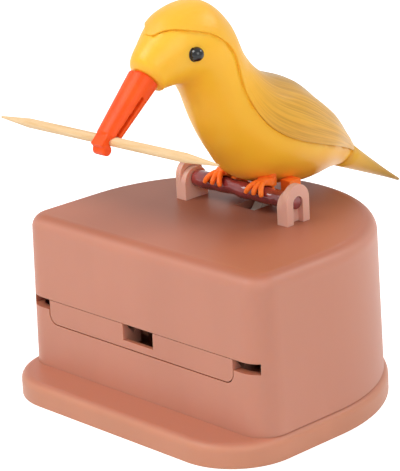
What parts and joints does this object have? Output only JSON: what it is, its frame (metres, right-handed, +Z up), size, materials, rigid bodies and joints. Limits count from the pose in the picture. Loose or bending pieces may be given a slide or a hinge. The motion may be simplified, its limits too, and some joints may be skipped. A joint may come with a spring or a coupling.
{
  "type": "toothpick dispenser",
  "caption": "Table toothpick dispenser: a dipping bird on a branch over a D-shaped box, whose beak lifts a toothpick from a tray that slides out of the box.",
  "frame": {"origin": "on the underside of the base plate, straight below the axis that the bird turns about", "axes": "X along the box's front from left to right as seen by who faces it, Y from the front face towards the round back, Z up"},
  "size_m": [0.0748, 0.0912, 0.0864],
  "materials": {
    "base": "glossy moulded polystyrene",
    "box": "glossy moulded polystyrene",
    "clip": "glossy moulded polystyrene",
    "inner": "plain moulded nylon",
    "steel": "bright wire and screws",
    "branch": "glossy dark red",
    "feet": "glossy orange",
    "yellow": "glossy yellow, shaded orange below",
    "olive": "glossy olive gold",
    "eye": "polished black bead",
    "wood": "pale birch"
  },
  "bodies": {
    "base": {"base_plate": "base", "toothpick_ramp": "inner", "return_spring": "steel"},
    "rod": {"push_rod": "inner"},
    "case": {"housing": "box", "perch_clip_left": "clip", "perch_clip_right": "clip", "mechanism_frame": "inner", "frame_screws": "steel", "rocker_pin": "steel"},
    "rocker": {"rocker": "inner"},
    "tray": {"tray": "box"},
    "bird": {"perch": "branch", "drive_arm": "inner", "foot_bridge": "feet", "foot_left": "feet", "foot_right": "feet", "body_shell": "yellow", "back_shell": "olive", "tail": "olive", "beak": "feet", "eye_left": "eye", "eye_right": "eye"},
    "toothpick": {"toothpick": "wood"}
  },
  "joints": [
    {"name": "housing_lift", "type": "slide", "parent": "base", "child": "case", "axis": [0, 0, 1], "range_m": [0, 0.045]},
    {"name": "bird_dip", "type": "hinge", "parent": "case", "child": "bird", "pos_m": [0, 0, 0.0429], "axis": [1, 0, 0], "range_deg": [0, 62.18], "stiffness_Nm_per_rad": 0.006, "springref_deg": -40.11},
    {"name": "rocker_turn", "type": "hinge", "parent": "case", "child": "rocker", "pos_m": [0, 0.01143, 0.01734], "axis": [1, 0, 0], "range_deg": [-48.7, 0.1]},
    {"name": "tray_slide", "type": "slide", "parent": "case", "child": "tray", "axis": [0, -1, 0], "range_m": [0, 0.00535]},
    {"name": "push_rod_slide", "type": "slide", "parent": "base", "child": "rod", "axis": [0, -1, 0], "range_m": [0, 0.00535], "deforming": ["return_spring"]},
    {"name": "toothpick_draw", "type": "slide", "parent": "bird", "child": "toothpick", "axis": [1, 0, 0], "range_m": [-0.03, 0.03]}
  ],
  "couplings": [
    {"joint": "rocker_turn", "follows": "bird_dip", "ratio": -0.7816},
    {"joint": "tray_slide", "follows": "bird_dip", "m_per_rad": 0.004891},
    {"joint": "push_rod_slide", "follows": "bird_dip", "m_per_rad": 0.004891}
  ]
}
